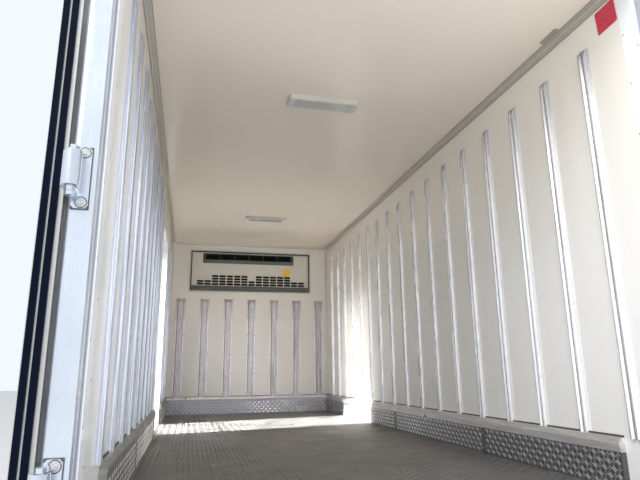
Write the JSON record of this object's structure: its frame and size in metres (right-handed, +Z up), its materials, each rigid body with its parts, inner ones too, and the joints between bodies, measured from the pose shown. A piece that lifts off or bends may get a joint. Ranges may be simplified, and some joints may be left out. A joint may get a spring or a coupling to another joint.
{
  "type": "refrigerated truck cargo body",
  "caption": "Insulated box body of a refrigerated truck, off its chassis, with ribbed linings, kick plates, cooling unit, hinged rear doors and a hinged side door.",
  "frame": {"origin": "centre of the rectangle of chassis bolts, on the underside of the long sills", "axes": "+X to the right of the vehicle, +Y forward along its length, +Z up"},
  "size_m": [2.4524, 5.993, 2.515],
  "materials": {
    "insulated_panel": "moulded skin, satin",
    "wall_panel": "cream white panel, satin",
    "door_panel": "white panel, satin",
    "tread_plate": "embossed, worn bright",
    "stainless": "polished",
    "aluminium_profile": "anodised satin",
    "painted_steel": "black chassis paint",
    "rib_metal": "bright drawn strip",
    "white_plastic": "gloss white",
    "lamp_lens": "frosted lens",
    "grey_plastic": "dark grey moulding",
    "unit_white": "white powder coat",
    "marker_lens": "amber lens",
    "rubber": "black rubber"
  },
  "bodies": {
    "cargo_body": {"buffers": "rubber", "ceiling_probe": "grey_plastic", "chassis_brackets": "painted_steel", "crossmembers": "painted_steel", "door_stays": "painted_steel", "drain_spouts": "grey_plastic", "evaporator_frame": "grey_plastic", "evaporator_panel": "unit_white", "floor_panel": "insulated_panel", "floor_tread": "tread_plate", "hinge_brackets": "stainless", "inner_trims": "aluminium_profile", "jamb_trims": "aluminium_profile", "kick_front": "tread_plate", "kick_left": "tread_plate", "kick_right": "tread_plate", "lamp_housings": "white_plastic", "lamp_lenses": "lamp_lens", "lock_keepers": "stainless", "marker_lamps": "marker_lens", "outer_rails": "aluminium_profile", "outlet_vanes": "grey_plastic", "rear_portal": "stainless", "refrigeration_unit": "unit_white", "ribs_front": "rib_metal", "ribs_left": "rib_metal", "ribs_right": "rib_metal", "roof_panel": "wall_panel", "side_frame": "aluminium_profile", "sills": "painted_steel", "unit_grille": "grey_plastic", "wall_front": "wall_panel", "wall_left": "wall_panel", "wall_right": "wall_panel"},
    "rear_door_left": {"rear_left_edge": "aluminium_profile", "rear_left_gasket": "rubber", "rear_left_lock": "stainless", "rear_left_panel": "door_panel", "rear_left_straps": "stainless"},
    "rear_door_right": {"rear_right_edge": "aluminium_profile", "rear_right_gasket": "rubber", "rear_right_lock": "stainless", "rear_right_panel": "door_panel", "rear_right_straps": "stainless"},
    "side_door": {"side_door_edge": "aluminium_profile", "side_door_gasket": "rubber", "side_door_lock": "stainless", "side_door_panel": "door_panel", "side_door_straps": "stainless"}
  },
  "joints": [
    {"name": "rear_door_left_hinge", "type": "hinge", "parent": "cargo_body", "child": "rear_door_left", "pos_m": [-1.066, -2.79, 1.32], "axis": [0, 0, 1], "range_deg": [0, 266]},
    {"name": "rear_door_right_hinge", "type": "hinge", "parent": "cargo_body", "child": "rear_door_right", "pos_m": [1.066, -2.79, 1.32], "axis": [0, 0, 1], "range_deg": [-266, 0]},
    {"name": "side_door_hinge", "type": "hinge", "parent": "cargo_body", "child": "side_door", "pos_m": [-1.12, 1.496, 1.22], "axis": [0, 0, 1], "range_deg": [0, 180]}
  ]
}
